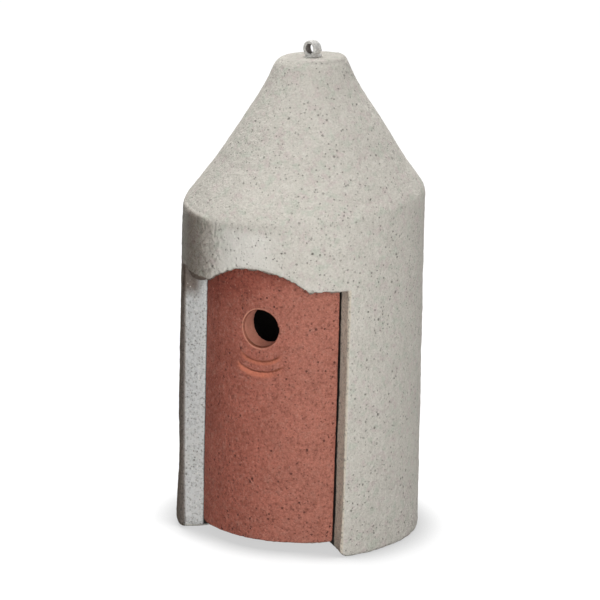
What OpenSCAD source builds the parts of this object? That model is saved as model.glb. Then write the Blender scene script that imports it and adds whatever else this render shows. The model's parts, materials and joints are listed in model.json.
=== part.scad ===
// Free-hanging nest box: a round cast body with a conical roof, a removable
// cast front panel with the entrance hole, and a metal eye to hang it by.
// Millimetres, +Z up, the front faces -Y, the origin is at the middle of the base.

/* [Body] */
// Outside diameter of the body at its base
body_d = 160; // [140:1:200]
// Draft of the outer wall, in degrees
body_draft = 0.5; // [0:0.1:1.5]
// Thickness of the wall
wall_t = 20; // [19:0.5:26]
// Thickness of the floor
floor_t = 15; // [10:0.5:30]
// Radius of the rounded edge around the base
base_round = 2; // [1:0.5:6]

/* [Roof] */
// Height at which the cone turns into the neck
neck_h = 287; // [260:1:330]
// Diameter at which the cone turns into the neck
neck_d = 68; // [50:1:80]
// Angle between the side of the cone and the vertical, in degrees
roof_angle = 33.8; // [28:0.2:38]
// Distance of the cone's axis behind the axis of the body
roof_setback = 4; // [0:0.5:12]
// Thickness of the roof, square to the cone
roof_t = 18; // [14:0.5:24]
// Height of the solid crown between the hollow roof and the neck
crown_h = 25; // [15:1:35]
// Height of the neck
neck_rise = 21; // [10:0.5:30]
// Diameter at the top of the neck
cap_d = 46; // [36:0.5:50]
// Height of the bevelled cap
cap_rise = 4; // [2:0.5:6]
// Diameter of the flat top of the cap
cap_top_d = 40; // [20:0.5:42]

/* [Doorway] */
// Half the angle that the doorway takes out of the round wall, in degrees
doorway_half_angle = 45; // [40:0.5:48]
// Height of the plain band between the top of the doorway and the foot of the cone
band_h = 15.5; // [8:0.5:20]
// How far the lower edge of the hood hangs below the top of the doorway
hood_drop = 23.5; // [20:0.5:30]
// Radial thickness of the hood at its lower edge
hood_lip_t = 5.5; // [4:0.5:7]
// Radial thickness of the hood at the top of the doorway
hood_root_t = 10.5; // [8:0.5:11]
// Width of the arch over the entrance hole
arch_w = 68; // [50:1:80]
// Rise of the arch above the hood's lower edge
arch_rise = 12.5; // [6:0.5:15]

/* [Front panel] */
// Distance of the panel's face behind the outside of the wall
panel_recess = 13.8; // [12:0.2:15]
// Thickness of the panel
panel_t = 15; // [12:0.5:17]
// Height of the panel's lower edge above the base
panel_lift = 6.2; // [3:0.2:10]
// Space between each side edge of the panel and the wall
panel_side_gap = 1.4; // [0.9:0.1:2]
// Space between the panel's top edge and the top of the doorway
panel_top_gap = 6; // [5:0.5:8]
// Space between the panel and the front of the floor
panel_seat_gap = 0.3; // [0.2:0.1:0.6]
// Bevel along the top edge of the panel
panel_bevel = 6; // [4:0.5:7]

/* [Entrance hole] */
// Diameter of the entrance hole
hole_d = 26; // [20:1:34]
// How far the middle of the hole lies below the hood's lower edge
hole_drop = 28.5; // [24:0.5:60]
// Depth of the chamfer around the hole
hole_chamfer = 0.5; // [0.5:0.5:3]
// Distance of the upper groove's upper edge from the middle of the hole
groove_r = 21.5; // [18:0.5:24]
// Distance from one groove to the next
groove_pitch = 7; // [5:0.5:9]
// Number of curved grooves below the hole
groove_count = 2; // [1:1:3]
// Depth of the upper groove at its upper edge
groove_depth = 1.4; // [0.8:0.2:2]
// How much deeper each groove is than the one above it
groove_deepening = 0.6; // [0:0.2:1]
// Width of a groove for each millimetre of its depth
groove_spread = 2; // [1:0.5:3]

/* [Pivot] */
// Diameter of the two pins that the panel swings on
pin_d = 4; // [3:0.5:5]
// Length of each pin inside the wall
pin_in_wall = 8; // [5:0.5:12]
// Length of each pin inside the panel
pin_in_panel = 6; // [4:0.5:9]
// Depth of the pins below the panel's top edge
pin_drop = 6; // [5:0.5:8]
// Depth of the pins' axis behind the panel's face, at its side edges
pin_depth = 2.8; // [2.4:0.1:4]
// Space around a pin in the panel
pin_gap = 0.1; // [0.05:0.01:0.1]

/* [Hanging eye] */
// Outside diameter of the eye
eye_d = 10.5; // [9:0.5:14]
// Diameter of the hole in the eye
eye_hole_d = 6; // [4:0.5:8]
// Depth of the eye, along its hole
eye_depth = 6.5; // [4:0.5:9]
// Angle by which the eye is turned from the front, in degrees
eye_turn = 15; // [0:1:45]
// Diameter of the stem below the eye
stem_d = 5; // [3:0.5:6]
// Length of the stem inside the neck
stem_l = 16; // [8:1:20]
// Distance of the eye in front of the cone's axis
eye_forward = 2; // [0:0.5:6]

/* [Hidden] */
$fn = 96;

CAST = "#C9C5BC";
CLAY = "#A5614F";
STEEL = "#9DA0A0";

over = 1;                 // how far a cutting shape runs past what it cuts
body_r = body_d / 2;
chamber_r = body_r - wall_t;
neck_r = neck_d / 2;
roof_slope = tan(roof_angle);
roof_wall_r = roof_t / cos(roof_angle);

// The cone meets the front of the drafted wall at foot_h. The wall's segments
// and the doorway end below it, and the roof's segments begin there.
foot_h = neck_h - (body_r - neck_h * tan(body_draft) + roof_setback - neck_r)
    / (roof_slope - tan(body_draft));
wall_h = foot_h - band_h;
crown_base_h = neck_h - crown_h;
top_h = neck_h + neck_rise + cap_rise;

hood_h = wall_h - hood_drop;
arch_r = (arch_w * arch_w / 4 + arch_rise * arch_rise) / (2 * arch_rise);
arch_angle = asin(arch_w / 2 / body_r_at(hood_h));

panel_r = body_r - panel_recess;
panel_inner_r = panel_r - panel_t;
panel_top = wall_h - panel_top_gap;
hole_h = hood_h - hole_drop;
pin_h = panel_top - pin_drop;
pin_forward = (panel_r - pin_depth) * cos(doorway_half_angle);
pin_wall_x = (panel_r - pin_depth) * sin(doorway_half_angle);
wall_step = (360 - 2 * doorway_half_angle) / 6;
floor_front_r = panel_inner_r - panel_seat_gap;
eye_h = top_h + eye_d / 2;

// Outside radius of the drafted body, and radius of the cone, at a height.
function body_r_at(h) = body_r - h * tan(body_draft);
function cone_r_at(h) = neck_r + (neck_h - h) * roof_slope;

// Direction in which a wall segment starts, from the front towards the right.
function wall_start(i) = doorway_half_angle + i * wall_step;

// The mirror image of a piece of the right-hand side.
module on_left() {
    mirror([1, 0, 0])
        children();
}

// A profile turned about the axis by step, from direction a. Direction 0 is
// the front, and directions grow towards the right-hand side.
module turned(a, step) {
    rotate([0, 0, a - 90])
        rotate_extrude(angle = step)
            children();
}

// Everything between two directions, from height low to height high.
module sector(a, step, low, high) {
    turned(a, step)
        translate([0, low])
            square([2 * body_r, high - low]);
}

// The hollow of the body: the brood chamber, closed above by the hollow roof.
module roof_hollow() {
    intersection() {
        translate([0, 0, wall_h - over])
            cylinder(h = crown_base_h - wall_h + 2 * over, r = chamber_r);
        translate([0, roof_setback, wall_h - over])
            cylinder(
                h = crown_base_h - wall_h + 2 * over,
                r1 = cone_r_at(wall_h - over) - roof_wall_r,
                r2 = cone_r_at(crown_base_h + over) - roof_wall_r
            );
    }
}

// The outside of the roof: the cone, trimmed to the round body.
module roof_outside() {
    intersection() {
        translate([0, 0, wall_h])
            cylinder(
                h = crown_base_h - wall_h,
                r1 = body_r_at(wall_h),
                r2 = body_r_at(crown_base_h)
            );
        translate([0, roof_setback, wall_h])
            cylinder(
                h = crown_base_h - wall_h,
                r1 = cone_r_at(wall_h),
                r2 = cone_r_at(crown_base_h)
            );
    }
}

// One segment of the hollow roof.
module roof_segment(a, step) {
    color(CAST)
        difference() {
            intersection() {
                roof_outside();
                sector(a, step, wall_h - over, crown_base_h + over);
            }
            roof_hollow();
        }
}

// Cross-section of the wall, with its lower outer edge rounded.
module wall_profile() {
    difference() {
        polygon([
            [chamber_r, 0],
            [body_r, 0],
            [body_r_at(wall_h), wall_h],
            [chamber_r, wall_h]
        ]);
        translate([body_r_at(base_round) - base_round, base_round])
            difference() {
                translate([0, -base_round - over])
                    square([base_round + over, base_round + over]);
                circle(r = base_round);
            }
    }
}

// One segment of the round wall, with the blind hole for a pivot pin in it.
module wall_segment(i) {
    color(CAST)
        difference() {
            turned(wall_start(i), wall_step)
                wall_profile();
            if (i == 0) pin_shape(0);
        }
}

// The hood in front of the panel's top edge, between two directions.
module hood_segment(a, step) {
    color(CAST)
        difference() {
            turned(a, step)
                polygon([
                    [body_r_at(hood_h) - hood_lip_t, hood_h],
                    [body_r_at(hood_h), hood_h],
                    [body_r_at(wall_h), wall_h],
                    [body_r_at(wall_h) - hood_root_t, wall_h]
                ]);
            arch_cut();
        }
}

// The arch is a circular arc, cut through the hood from front to back.
module arch_cut() {
    translate([0, 0, hood_h + arch_rise - arch_r])
        rotate([90, 0, 0])
            cylinder(h = 2 * body_r, r = arch_r);
}

module floor() {
    color(CAST)
        difference() {
            cylinder(h = floor_t, r = chamber_r);
            turned(-doorway_half_angle, 2 * doorway_half_angle)
                translate([floor_front_r, -over])
                    square([wall_t, floor_t + 2 * over]);
        }
}

module roof_crown() {
    color(CAST)
        translate([0, roof_setback, crown_base_h])
            cylinder(h = crown_h, r1 = cone_r_at(crown_base_h), r2 = neck_r);
}

module roof_neck() {
    color(CAST)
        difference() {
            translate([0, roof_setback, neck_h])
                cylinder(h = neck_rise, r1 = neck_r, r2 = cap_d / 2);
            stem();
        }
}

module roof_cap() {
    color(CAST)
        difference() {
            translate([0, roof_setback, neck_h + neck_rise])
                cylinder(h = cap_rise, r1 = cap_d / 2, r2 = cap_top_d / 2);
            stem();
        }
}

// The stem of the eye, from inside the neck up to the middle of the ring.
module stem() {
    translate([0, roof_setback - eye_forward, top_h - stem_l])
        cylinder(h = stem_l + eye_d / 2, r = stem_d / 2);
}

module hanging_eye() {
    color(STEEL)
        difference() {
            union() {
                stem();
                eye_disc(eye_d, eye_depth);
            }
            eye_disc(eye_hole_d, eye_depth + 2 * over);
        }
}

// A disc on the axis of the eye's hole.
module eye_disc(d, depth) {
    translate([0, roof_setback - eye_forward, eye_h])
        rotate([90, 0, -eye_turn])
            cylinder(h = depth, r = d / 2, center = true);
}

// The right-hand pivot pin, with space around the end that is in the panel.
module pin_shape(gap) {
    translate([pin_wall_x - pin_in_panel - gap, -pin_forward, pin_h])
        rotate([0, 90, 0])
            cylinder(h = pin_in_panel + pin_in_wall + gap, r = pin_d / 2 + gap);
}

// The curved plate, narrower than the doorway by the side gaps.
module panel_plate() {
    half_angle = doorway_half_angle - asin(panel_side_gap / panel_r);
    turned(-half_angle, 2 * half_angle)
        polygon([
            [panel_inner_r, panel_lift],
            [panel_r, panel_lift],
            [panel_r, panel_top - panel_bevel],
            [panel_r - panel_bevel, panel_top],
            [panel_inner_r, panel_top]
        ]);
}

// The entrance hole, with its chamfer on the outside.
module entrance_hole() {
    translate([0, -panel_r, hole_h])
        rotate([-90, 0, 0]) {
            translate([0, 0, -over])
                cylinder(h = panel_t + 4 * over, r = hole_d / 2);
            translate([0, 0, -over])
                cylinder(
                    h = hole_chamfer + over,
                    r1 = hole_d / 2 + hole_chamfer + over,
                    r2 = hole_d / 2
                );
        }
}

// One groove, as a flat ring stamp leaves it: deepest along its upper edge, and
// fading out towards its ends, where the round face falls away from the stamp.
module groove(radius, depth) {
    translate([0, -panel_r, hole_h])
        rotate([90, 0, 0])
            intersection() {
                rotate_extrude()
                    polygon([
                        [radius, -depth],
                        [radius + (depth + over) * groove_spread, over],
                        [radius, over]
                    ]);
                translate([-panel_r, -panel_r, -panel_t])
                    cube([2 * panel_r, panel_r, 2 * panel_t]);
            }
}

module front_panel() {
    color(CLAY)
        difference() {
            panel_plate();
            entrance_hole();
            for (i = [0 : groove_count - 1])
                groove(groove_r + i * groove_pitch, groove_depth + i * groove_deepening);
            pin_shape(pin_gap);
            on_left() pin_shape(pin_gap);
        }
}

floor();
wall_segment(0);  // wall_right_front
wall_segment(1);  // wall_right
wall_segment(2);  // wall_back_right
on_left() wall_segment(0);  // wall_left_front
on_left() wall_segment(1);  // wall_left
on_left() wall_segment(2);  // wall_back_left
hood_segment(-arch_angle, 2 * arch_angle);  // hood_centre
hood_segment(arch_angle, doorway_half_angle - arch_angle);  // hood_right
on_left() hood_segment(arch_angle, doorway_half_angle - arch_angle);  // hood_left
roof_segment(0, doorway_half_angle);  // roof_front_right
roof_segment(wall_start(0), wall_step);  // roof_right_front
roof_segment(wall_start(1), wall_step);  // roof_right
roof_segment(wall_start(2), wall_step);  // roof_back_right
on_left() roof_segment(0, doorway_half_angle);  // roof_front_left
on_left() roof_segment(wall_start(0), wall_step);  // roof_left_front
on_left() roof_segment(wall_start(1), wall_step);  // roof_left
on_left() roof_segment(wall_start(2), wall_step);  // roof_back_left
roof_crown();
roof_neck();
roof_cap();
front_panel();
color(STEEL) pin_shape(0);  // pivot_pin_right
on_left() color(STEEL) pin_shape(0);  // pivot_pin_left
hanging_eye();
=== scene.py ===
"""Dresses the packed nest box: its rough casting, its clay-red front panel, and its metal eye."""

import json
import math
from collections import namedtuple

import bmesh
import bpy
from bpy.props import FloatProperty, FloatVectorProperty, IntProperty, PointerProperty
from mathutils import Matrix, Vector, noise


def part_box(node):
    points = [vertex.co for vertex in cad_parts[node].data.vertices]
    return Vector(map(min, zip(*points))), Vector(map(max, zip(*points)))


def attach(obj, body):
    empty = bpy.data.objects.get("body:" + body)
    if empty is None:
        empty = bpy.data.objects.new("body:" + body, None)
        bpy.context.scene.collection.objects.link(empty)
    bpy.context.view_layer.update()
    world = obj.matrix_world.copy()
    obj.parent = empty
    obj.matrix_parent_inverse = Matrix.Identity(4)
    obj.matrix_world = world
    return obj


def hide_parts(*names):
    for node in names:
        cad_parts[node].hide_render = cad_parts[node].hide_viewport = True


bl_info = {
    "name": "Nest Box",
    "version": (1, 0, 0),
    "blender": (4, 5, 0),
    "location": "View3D > Sidebar > Nest Box",
    "description": "Models and finishes a free-hanging nest box around its packed solids",
    "category": "Add Mesh",
}

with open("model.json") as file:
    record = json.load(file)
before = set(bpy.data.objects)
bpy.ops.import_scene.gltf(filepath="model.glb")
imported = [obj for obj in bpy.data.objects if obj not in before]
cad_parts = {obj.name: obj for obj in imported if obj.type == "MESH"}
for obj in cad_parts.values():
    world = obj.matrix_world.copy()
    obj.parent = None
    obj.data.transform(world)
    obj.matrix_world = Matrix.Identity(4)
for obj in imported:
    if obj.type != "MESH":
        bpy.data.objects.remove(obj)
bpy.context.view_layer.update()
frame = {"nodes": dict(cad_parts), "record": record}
MM = 0.001

CAST_NODES = [
    "floor", "wall_left_front", "wall_left", "wall_back_left",
    "wall_back_right", "wall_right", "wall_right_front",
    "hood_left", "hood_centre", "hood_right",
    "roof_front_left", "roof_front_right", "roof_left_front", "roof_left",
    "roof_back_left", "roof_back_right", "roof_right", "roof_right_front",
    "roof_crown", "roof_neck", "roof_cap",
]

# Heights and radii that the frame gives.
BODY_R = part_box("wall_right")[1].x
WALL_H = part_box("wall_right")[1].z
HOOD_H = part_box("hood_left")[0].z
FLOOR_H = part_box("floor")[1].z
CHAMBER_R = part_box("floor")[1].x
ROOF_Y = (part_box("roof_neck")[0].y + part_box("roof_neck")[1].y) / 2
CROWN_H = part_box("roof_crown")[0].z
CROWN_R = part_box("roof_crown")[1].x
NECK_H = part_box("roof_neck")[0].z
NECK_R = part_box("roof_neck")[1].x
TOP_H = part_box("roof_cap")[1].z
# The hood's lower edge and the base give the draft of the body's outside.
BODY_DRAFT = (BODY_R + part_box("hood_centre")[0].y) / HOOD_H
ROOF_SLOPE = (CROWN_R - NECK_R) / (NECK_H - CROWN_H)
FOOT_H = CROWN_H - (BODY_R - CROWN_H * BODY_DRAFT - CROWN_R + ROOF_Y) / (ROOF_SLOPE - BODY_DRAFT)
PANEL_LOW, PANEL_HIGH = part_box("front_panel")
PANEL_R = -PANEL_LOW.y
EYE_LOW, EYE_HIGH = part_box("hanging_eye")
MOUNTS = {mount["name"]: mount for mount in frame["record"]["mounts"]}
HOLE_MOUNT, EYE_MOUNT = MOUNTS["entrance_hole"], MOUNTS["hanging_eye"]
HOLE, EYE = Vector(HOLE_MOUNT["pos_m"]), Vector(EYE_MOUNT["pos_m"])
HOLE_R, EYE_HOLE_R = (mount["dims"]["r_mm"] * MM for mount in (HOLE_MOUNT, EYE_MOUNT))
EYE_AXIS, EYE_DEPTH = Vector(EYE_MOUNT["axis"]), EYE_MOUNT["dims"]["length_mm"] * MM
EYE_TURN = math.atan2(-EYE_AXIS.x, -EYE_AXIS.y)

# The arch in the hood, as the source has it.
ARCH_W, ARCH_RISE = 68 * MM, 12.5 * MM
ARCH_R = (ARCH_W ** 2 / 4 + ARCH_RISE ** 2) / (2 * ARCH_RISE)
PANEL_SLOPE = PANEL_HIGH.x / math.sqrt(PANEL_R ** 2 - PANEL_HIGH.x ** 2)
CAP_TOP_R = max(
    math.hypot(v.co.x, v.co.y - ROOF_Y)
    for v in frame["nodes"]["roof_cap"].data.vertices if v.co.z > TOP_H - 0.5 * MM
)

# The doorway's edges in the solids, in degrees from the front, and how far outside them the
# casting's edges lie: along the panel and the outside of the wall, at the ground and the hood.
DOORWAY = 45.0
Edge = namedtuple("Edge", "inner_low inner_high outer_low outer_high")
LEFT_EDGE = Edge(2.0, 0.7, 5.0, 13.0)
RIGHT_EDGE = Edge(-0.2, 0.9, -1.0, 0.5)

SPLAY_POWER = 0.6  # The edges turn outwards faster near the ground than near the hood.
FOOT_INNER_R = PANEL_R - 15.2 * MM  # Nothing nearer to the axis has a rounded foot.

# The hood's left lobe: its middle and width, in degrees from the front, and how far below
# and above the hood's lower edge the rounding of its end reaches.
LOBE_TURN, LOBE_WIDTH = -39.5, 7.0
CORNER_BELOW, CORNER_ABOVE = -30 * MM, 25 * MM
# The dent low on the left of the wall: its middle, its half sizes and its depth.
DENT_H, DENT_TURN, DENT_TALL, DENT_WIDE, DENT_DEPTH = 45 * MM, -67.0, 22 * MM, 25.0, 1.1 * MM

HIDDEN_SHARE = 0.05  # Share of the corners that is kept where the casting is seen least.

# Grooves below the hole: how many, and how far they reach sideways.
GROOVES, GROOVE_REACH, GROOVE_REACH_GROWTH = 2, 14 * MM, 2.5 * MM

# Unevenness of each surface: size of the blotches, their seed and their height, in metres.
CAST_WAVES = [(0.035, 3.0, 0.0005), (0.010, 11.0, 0.0002), (0.0036, 23.0, 0.00022)]
INSIDE_WAVES = [(0.02, 3.0, 0.0003)]
PANEL_WAVES = [(0.03, 5.0, 0.00025), (0.007, 9.0, 0.00015), (0.0027, 31.0, 0.00013)]
EYE_WAVES = [(0.0025, 8.0, 0.00012)]

# Radius of the cast roof at each height, both in millimetres, about its own axis.
ROOF_PROFILE = [
    (190.0, 102.0), (200.0, 94.6), (215.0, 83.5), (230.0, 72.4), (245.0, 61.4),
    (260.0, 51.6), (272.0, 44.1), (282.0, 37.4), (290.0, 32.3), (298.0, 27.9),
    (304.0, 25.1), (308.0, 23.3), (312.0, 20.4), (330.0, 8.0),
]


# ---------------------------------------------------------------- shader maths

class Value:
    """A socket or a number in a node tree, with arithmetic that adds Math nodes."""

    def __init__(self, tree, socket):
        self.tree = tree
        self.socket = socket

    def node(self, kind, settings=None, numbered=(), **named):
        """Adds a node, sets its properties, then its sockets by number and by name."""
        made = self.tree.nodes.new(kind)
        for name, value in (settings or {}).items():
            setattr(made, name, value)
        for number, value in enumerate(numbered):
            put(self.tree, made.inputs[number], value)
        for name, value in named.items():
            put(self.tree, made.inputs[name.replace("_", " ")], value)
        return made

    def maths(self, operation, *values, clamp=False):
        """A Math node over some values."""
        settings = {"operation": operation, "use_clamp": clamp}
        return Value(self.tree, self.node("ShaderNodeMath", settings, values).outputs[0])

    def __add__(self, other):
        return self.maths("ADD", self, other)

    def __sub__(self, other):
        return self.maths("SUBTRACT", self, other)

    def __mul__(self, other):
        return self.maths("MULTIPLY", self, other)

    def __truediv__(self, other):
        return self.maths("DIVIDE", self, other)

    def __rsub__(self, other):
        return self.maths("SUBTRACT", other, self)

    def __pow__(self, other):
        return self.maths("POWER", self, other)

    def __neg__(self):
        return self * -1.0

    def __abs__(self):
        return self.maths("ABSOLUTE", self)

    __radd__ = __add__
    __rmul__ = __mul__

    def clamped(self):
        """The value held between 0 and 1."""
        return self.maths("ADD", self, 0.0, clamp=True)

    def step(self, low, high):
        """0 below low and 1 above high, with a smooth rise between them."""
        made = self.node(
            "ShaderNodeMapRange", {"interpolation_type": "SMOOTHSTEP"},
            Value=self, From_Min=low, From_Max=high,
        )
        return Value(self.tree, made.outputs["Result"])

    def fall(self, low, high):
        """1 below low and 0 above high."""
        return 1.0 - self.step(low, high)


def put(tree, socket, value):
    """Links or sets a socket."""
    if isinstance(value, Value):
        tree.links.new(value.socket, socket)
    elif isinstance(value, bpy.types.NodeSocket):
        tree.links.new(value, socket)
    elif socket.type == "RGBA" and len(value) == 3:
        socket.default_value = (*value, 1.0)
    else:
        socket.default_value = value


def apart(across, up):
    """Distance that two lengths at right angles make."""
    return (across * across + up * up) ** 0.5


class Finish:
    """A material with a Principled shader whose patterns read Object coordinates in metres."""

    def __init__(self, name):
        self.material = bpy.data.materials.new(name)
        self.material.use_nodes = True
        self.tree = self.material.node_tree
        self.shader = self.tree.nodes["Principled BSDF"]
        self.base = Value(self.tree, None)
        self.colour = None
        self.place = self.base.node("ShaderNodeTexCoord").outputs["Object"]
        split = self.base.node("ShaderNodeSeparateXYZ", Vector=self.place)
        self.x, self.y, self.z = (Value(self.tree, out) for out in split.outputs)

    def noise(self, size, detail=2.0, roughness=0.5, shift=0.0, place=None):
        """Soft noise from 0 to 1 whose blotches are about size metres across."""
        made = self.base.node(
            "ShaderNodeTexNoise", {"noise_dimensions": "3D"},
            Vector=self.shifted(place or self.place, shift),
            Scale=1.0 / size, Detail=detail, Roughness=roughness,
        )
        return Value(self.tree, made.outputs["Fac"])

    def shifted(self, place, shift):
        """The coordinates moved by shift metres each way, so that two patterns differ."""
        far = (shift, shift * 0.7, -shift * 1.3)
        made = self.base.node("ShaderNodeVectorMath", {"operation": "ADD"}, (place, far))
        return made.outputs[0]

    def stretched(self, scale, turn):
        """The coordinates turned, then scaled unevenly, for streaks."""
        made = self.base.node(
            "ShaderNodeMapping", {"vector_type": "TEXTURE"},
            Vector=self.place, Rotation=turn, Scale=scale,
        )
        return made.outputs[0]

    def cells(self, size, shift):
        """Distance to the nearest point of a scatter, in cell sizes, and its random colour."""
        made = self.base.node(
            "ShaderNodeTexVoronoi", {"feature": "F1"},
            Vector=self.shifted(self.place, shift), Scale=1.0 / size, Randomness=1.0,
        )
        pick = self.base.node("ShaderNodeSeparateColor", Color=made.outputs["Color"])
        return Value(self.tree, made.outputs["Distance"]), Value(self.tree, pick.outputs[0])

    def specks(self, size, share, radius, shift):
        """A mask of small dots: one in each chosen cell, with soft rims and uneven sizes."""
        away, pick = self.cells(size, shift)
        grow = self.noise(size * 0.6, 1.0, 0.5, shift + 0.31)
        reach = away + (grow - 0.5) * (radius * 1.3)
        dot = 1.0 - reach.step(radius * 0.55, radius * 1.25)
        chosen = 1.0 - pick.step(share - 0.02, share + 0.02)
        return dot * chosen

    def mix(self, amount, first, second, blend="MIX"):
        """A colour between two, or first with second laid over it."""
        made = self.base.node(
            "ShaderNodeMix", {"data_type": "RGBA", "blend_type": blend}, Factor=amount
        )
        put(self.tree, made.inputs[6], first)
        put(self.tree, made.inputs[7], second)
        return made.outputs[2]

    def lay(self, amount, tint):
        """Lays a colour over the colour so far."""
        self.colour = self.mix(amount, self.colour, tint)

    def darken(self, amount, tint):
        """Multiplies the colour so far by a colour."""
        self.colour = self.mix(amount, self.colour, tint, "MULTIPLY")

    def relief(self, height, depth):
        """Feeds a height, in units of depth metres, to the shader's normal."""
        made = self.base.node("ShaderNodeBump", Height=height, Distance=depth, Strength=1.0)
        put(self.tree, self.shader.inputs["Normal"], made.outputs[0])

    def put(self, **inputs):
        """Sets or links sockets of the shader."""
        for name, value in inputs.items():
            put(self.tree, self.shader.inputs[name.replace("_", " ")], value)


# ---------------------------------------------------------------- materials

def beside_doorway(f, across, to_right):
    """Distance from the edge planes of the doorway, positive on the wall's side."""
    up = (f.z / HOOD_H).clamped() ** SPLAY_POWER
    out = ((across - PANEL_R) / (BODY_R - PANEL_R)).clamped()
    edges = []
    for edge in (LEFT_EDGE, RIGHT_EDGE):
        inner = up * (edge.inner_high - edge.inner_low) + edge.inner_low
        outer = up * (edge.outer_high - edge.outer_low) + edge.outer_low
        edges.append(inner + (outer - inner) * out)
    splay = edges[0] + (edges[1] - edges[0]) * to_right
    turn = f.x.maths("ARCTAN2", abs(f.x), -f.y)
    return (turn - (splay + DOORWAY) * math.radians(1.0)) * across


def cast_concrete(sizes):
    """Pale wood-fibre concrete: warm grey, grainy, with dark specks and small pits."""
    f = Finish("cast_concrete")
    mottle = f.noise(0.014, 3.0, 0.6)
    pink = f.noise(0.006, 2.0, 0.6, 2.3).step(0.5, 0.68)
    green = f.noise(0.007, 2.0, 0.6, 6.9).step(0.52, 0.7)
    grain = f.noise(0.0013, 3.0, 0.65, 5.1)
    lumps = f.noise(0.0034, 2.0, 0.5, 3.7)
    crowd = f.noise(0.022, 2.0, 0.5, 7.7).step(0.3, 0.7)
    flecks = f.noise(0.0023, 2.0, 0.6, 8.8)
    scrape = f.noise(0.0012, 2.0, 0.6, 3.3, f.stretched((2.1, 1.0, 1.0), (0.0, 0.9, -0.785)))
    f.colour = f.mix(mottle.step(0.3, 0.7) * 0.45, sizes.light, sizes.dark)
    f.lay(pink * 0.95, sizes.pink)
    f.lay(green * 0.85, sizes.green)
    f.lay(flecks.step(0.5, 0.78) * 0.35, sizes.fleck_and_light)
    f.lay((1.0 - flecks).step(0.55, 0.8) * 0.6, sizes.dark)
    f.darken(grain.step(0.28, 0.72), sizes.grain)
    # The cut faces beside the panel show more of the mix: cooler left, and warmer right.
    across = apart(f.x, f.y)
    aside = f.x / across
    to_right = f.x.step(-1 * MM, 1 * MM)
    beside = beside_doorway(f, across, to_right)
    cut = abs(beside).fall(0.7 * MM, 1.8 * MM)
    cut = cut * (-f.y).step(0.0, 0.01) * f.z.fall(HOOD_H, HOOD_H + 2 * MM)
    f.lay(cut * 0.85, f.mix(to_right, sizes.cool, sizes.warm))
    # Painted light: just above the arch the front of the hood is lightened. Its lower edge gets brown
    # soil with painted shadow, and the cap's top is dirty.
    arch = (ARCH_R ** 2 - f.x * f.x) ** 0.5 - (ARCH_R - ARCH_RISE)
    above = f.z - HOOD_H - f.base.maths("MAXIMUM", arch, 0.0)
    outside = across.step(PANEL_R + 3 * MM, PANEL_R + 5 * MM) * (-f.y).step(0.01, 0.03)
    lit_front = aside.step(-0.42, -0.2) * aside.fall(0.0, 0.3)
    lit_front = lit_front * above.step(0.0, 4 * MM) * f.z.fall(FOOT_H - 6 * MM, FOOT_H)
    f.lay(lit_front * outside * 0.6, sizes.fleck_and_light)
    rough = (lumps - 0.5) * 2 * MM
    frayed = above + rough
    # Painted shadow with brown soil along the hood's lower edge, inside the doorway.
    edge = outside * above.step(-6 * MM, -4 * MM) * frayed.fall(0.2 * MM, 1.3 * MM)
    edge = edge * beside.fall(-1.2 * MM, -0.2 * MM)
    f.lay(edge * 0.8, sizes.soil_and_shadow)
    top = (f.z + rough).step(TOP_H - 2.5 * MM, TOP_H - 0.5 * MM)
    f.darken(top, sizes.grime)
    # Brown dirt with painted shadow on the left cut face under the hood's lobe.
    lobe_shadow_and_dirt = cut * (1.0 - to_right) * (f.z + rough * 3.0).step(HOOD_H - 23 * MM, HOOD_H - 12 * MM)
    lobe_shadow_and_dirt = lobe_shadow_and_dirt * across.step(PANEL_R + 1 * MM, PANEL_R + 6 * MM)
    # The underside of the lobe gets dirt with painted shade too.
    skin = BODY_R - BODY_DRAFT * HOOD_H
    under = across.fall(skin - 2.2 * MM, skin - 1.2 * MM)
    under = under * outside * (-aside).step(0.45, 0.6)
    under = under * f.z.step(HOOD_H - 6 * MM, HOOD_H - 5 * MM)
    under = under * f.z.fall(HOOD_H + 7 * MM, HOOD_H + 9 * MM)
    lobe_shadow_and_dirt = f.base.maths("MAXIMUM", lobe_shadow_and_dirt, under)
    f.lay(lobe_shadow_and_dirt * 0.85, sizes.soil_and_shadow)
    grit = f.noise(0.0019, 2.0, 0.7, 4.9)
    f.darken(grit.step(0.45, 0.65) * cut, sizes.grime)
    salt = f.specks(0.0021, 0.85, 0.29, 5.3) * cut * 0.5
    chips = f.specks(0.0019, 0.5, 0.24, 3.1) * cut * (1.0 - to_right)
    f.lay(chips * 0.6, sizes.fleck_and_light)
    dust = f.specks(0.0017, 0.45, 0.25, 0.9) * 0.35
    fine = f.specks(0.0025, 0.42, 0.22, 1.9) * (0.4 + crowd * 0.4)
    coarse = f.specks(0.0048, 0.38, 0.15, 4.4) * (0.35 + crowd * 0.4)
    for dots in (salt, dust, fine, coarse):
        f.lay(dots, sizes.speck)
    # Painted shade with stain: the left of the hood and of the wall, away from the key light, is
    # darkened, most on the far left, and it is scraped.
    left = (-f.x / (across + 1 * MM) + (lumps - 0.5) * 0.25).step(0.30, 0.72)
    left = left * (-f.y).step(0.0, 0.03)
    ragged = f.z + rough * 2.0
    left = left * ragged.fall(FOOT_H - 2 * MM, FOOT_H + 4 * MM)
    left = left * across.step(BODY_R - 4 * MM, BODY_R - 2 * MM)
    far_left_shade = (-aside).step(0.67, 0.85)
    hood = f.z.step(HOOD_H - 4 * MM, HOOD_H + 6 * MM)
    f.darken(left * (1.0 - far_left_shade * hood * 0.8), sizes.stain)
    f.darken(left * far_left_shade * (1.0 - hood) * 0.9, sizes.stain)
    scrape = scrape * left
    f.darken((1.0 - scrape).step(0.45, 0.75) * left * 0.35, sizes.stain)
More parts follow.
